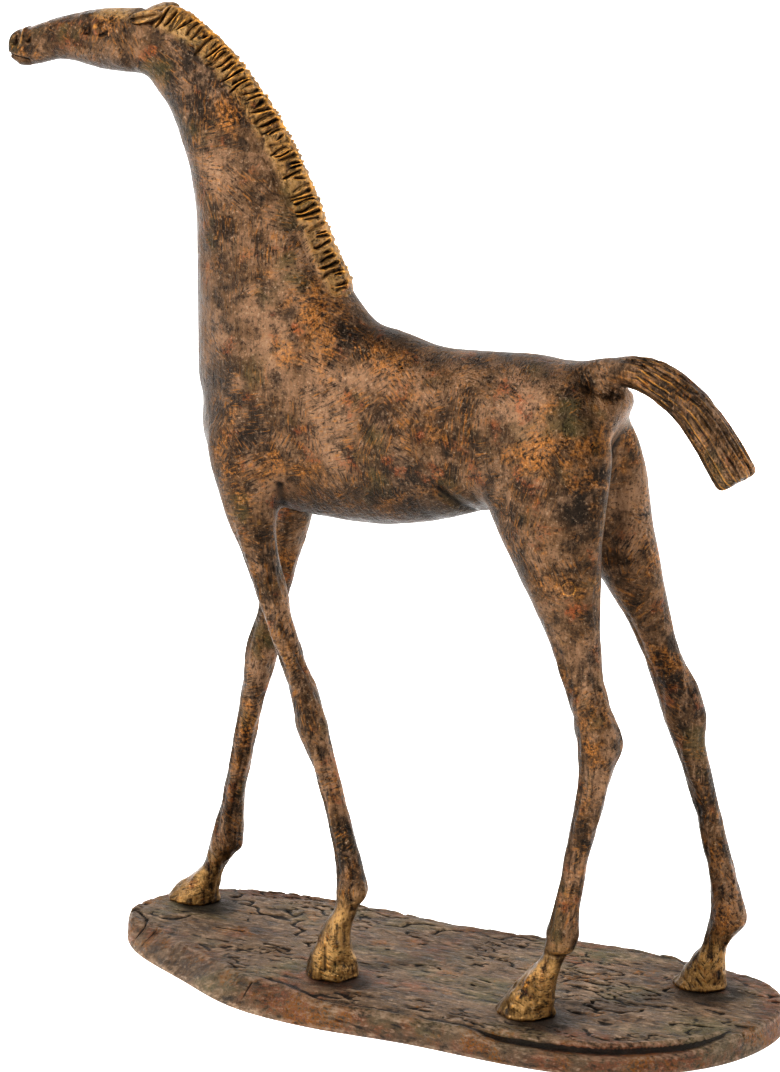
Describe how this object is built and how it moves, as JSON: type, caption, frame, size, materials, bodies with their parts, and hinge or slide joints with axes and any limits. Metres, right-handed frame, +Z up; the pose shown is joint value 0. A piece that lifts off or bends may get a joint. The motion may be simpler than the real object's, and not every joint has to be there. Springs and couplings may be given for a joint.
{
  "type": "bronze horse statuette",
  "caption": "Tall, slender walking horse in dark patinated bronze, cast in sections, doweled and joined, screwed to an irregular oval bronze slab with felt underneath.",
  "frame": {"origin": "centre of the flat underside of the slab, where the statuette rests", "axes": "+Z up; the horse's nose points to -X and its left side faces -Y"},
  "size_m": [0.2788, 0.0943, 0.3323],
  "materials": {
    "body_bronze": "dark brown patina, semi-gloss",
    "mane_bronze": "ochre and gold rubbed patina over dark pits",
    "slab_bronze": "slate-like grey-brown patina with rust tints",
    "plug_bronze": "coppery bare patch, satin",
    "inner_bronze": "unpatinated cast bronze",
    "felt": "dense short felt",
    "steel": "zinc-plated"
  },
  "bodies": {
    "root": {"base_plate": "slab_bronze", "base_felt": "felt", "torso": "body_bronze", "neck": "body_bronze", "head": "body_bronze", "mane": "mane_bronze", "left_ear": "body_bronze", "right_ear": "body_bronze", "left_fore_leg": "body_bronze", "right_fore_leg": "body_bronze", "left_hind_leg": "body_bronze", "right_hind_leg": "body_bronze", "left_fore_foot": "body_bronze", "right_fore_foot": "body_bronze", "left_hind_foot": "body_bronze", "right_hind_foot": "body_bronze", "tail": "body_bronze", "core_plugs": "plug_bronze", "neck_sleeve": "inner_bronze", "head_dowel": "inner_bronze", "tail_dowel": "inner_bronze", "leg_dowels": "inner_bronze", "foot_dowels": "inner_bronze", "foot_screws": "steel", "foot_washers": "steel"}
  },
  "joints": []
}
